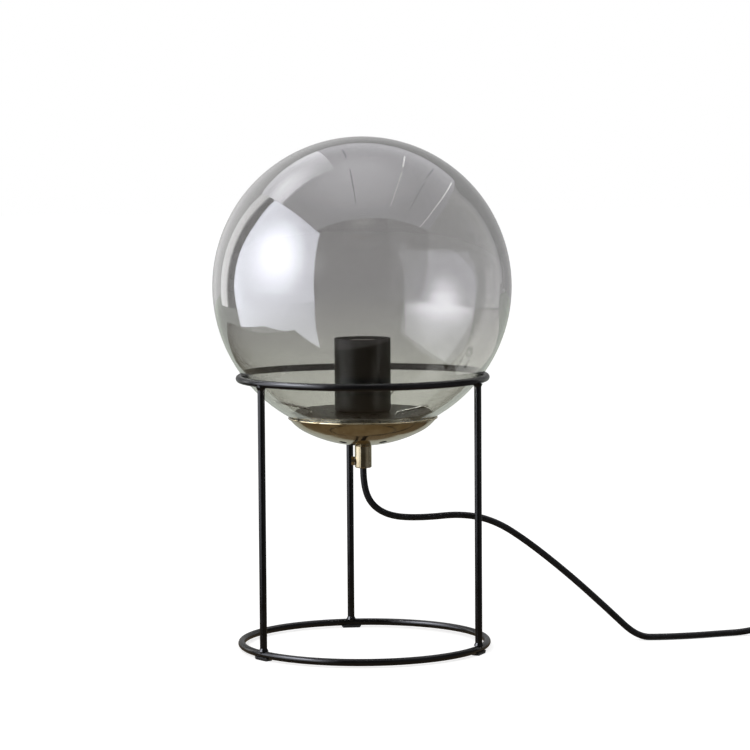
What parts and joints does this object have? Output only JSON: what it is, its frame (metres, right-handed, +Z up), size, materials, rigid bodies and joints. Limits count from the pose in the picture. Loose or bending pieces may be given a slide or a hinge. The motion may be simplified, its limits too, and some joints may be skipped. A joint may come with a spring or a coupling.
{
  "type": "globe table lamp",
  "caption": "Table lamp with a smoked glass globe resting in a black wire ring stand, a brass dish with its lampholder in the globe's foot, and a corded in-line switch.",
  "frame": {"origin": "on the floor under the lamp's axis, level with the underside of the feet", "axes": "+Z up, -Y towards the viewer, +X to the side on which the cord leaves"},
  "size_m": [0.6454, 0.25, 0.4289],
  "materials": {
    "black_frame": "black powder coat, satin",
    "foot_plastic": "moulded, matt",
    "smoked_glass": "blown, smoke grey, polished",
    "antique_brass": "polished, lacquered, slightly antiqued",
    "dark_steel": "pressed, dark finish",
    "spring_steel": "drawn wire, bright",
    "zinc_steel": "zinc plated",
    "bush_plastic": "moulded",
    "black_cover": "black, satin",
    "bright_brass": "plain",
    "holder_ceramic": "unglazed",
    "core_plastic": "core insulation",
    "cord_plastic": "black, smooth",
    "switch_plastic": "black, moulded",
    "tie_plastic": "soft strap",
    "pin_metal": "nickel plated"
  },
  "bodies": {
    "stand": {"lower_ring": "black_frame", "upper_ring": "black_frame", "leg_back": "black_frame", "leg_left": "black_frame", "leg_right": "black_frame", "foot_pad_back": "foot_plastic", "foot_pad_left": "foot_plastic", "foot_pad_right": "foot_plastic", "cord_lead": "cord_plastic", "switch_base": "switch_plastic", "switch_cover": "switch_plastic", "switch_screws": "zinc_steel", "rocker_pin": "zinc_steel", "cord_mid": "cord_plastic", "cord_coil": "cord_plastic", "coil_tie": "tie_plastic", "cord_tail": "cord_plastic", "plug_relief": "switch_plastic", "plug_body": "switch_plastic", "plug_pins": "pin_metal"},
    "fitting": {"dish": "antique_brass", "clip_plate": "dark_steel", "spring_clip_right": "spring_steel", "spring_clip_back": "spring_steel", "spring_clip_left": "spring_steel", "threaded_tube": "zinc_steel", "spacer_sleeve": "zinc_steel", "lock_nut": "zinc_steel", "cord_grip": "antique_brass", "strain_bush": "bush_plastic", "grip_screw": "antique_brass", "holder_cover": "black_cover", "holder_base": "bush_plastic", "terminals": "bright_brass", "terminal_screws": "zinc_steel", "holder_body": "holder_ceramic", "screw_shell": "bright_brass", "centre_contact": "bright_brass", "cord_cores": "core_plastic", "inner_cord": "cord_plastic"},
    "globe": {"globe": "smoked_glass"},
    "rocker": {"rocker": "switch_plastic"}
  },
  "joints": [
    {"name": "globe_lift", "type": "slide", "parent": "stand", "child": "fitting", "axis": [0, 0, 1], "range_m": [0, 0.1]},
    {"name": "globe_release", "type": "slide", "parent": "fitting", "child": "globe", "axis": [0, 0, 1], "range_m": [0, 0.08], "deforming": ["spring_clip_right", "spring_clip_back", "spring_clip_left"]},
    {"name": "switch_rocker", "type": "hinge", "parent": "stand", "child": "rocker", "pos_m": [0.382, 0.003, 0.011], "axis": [0, 1, 0], "range_deg": [0, 22]}
  ]
}
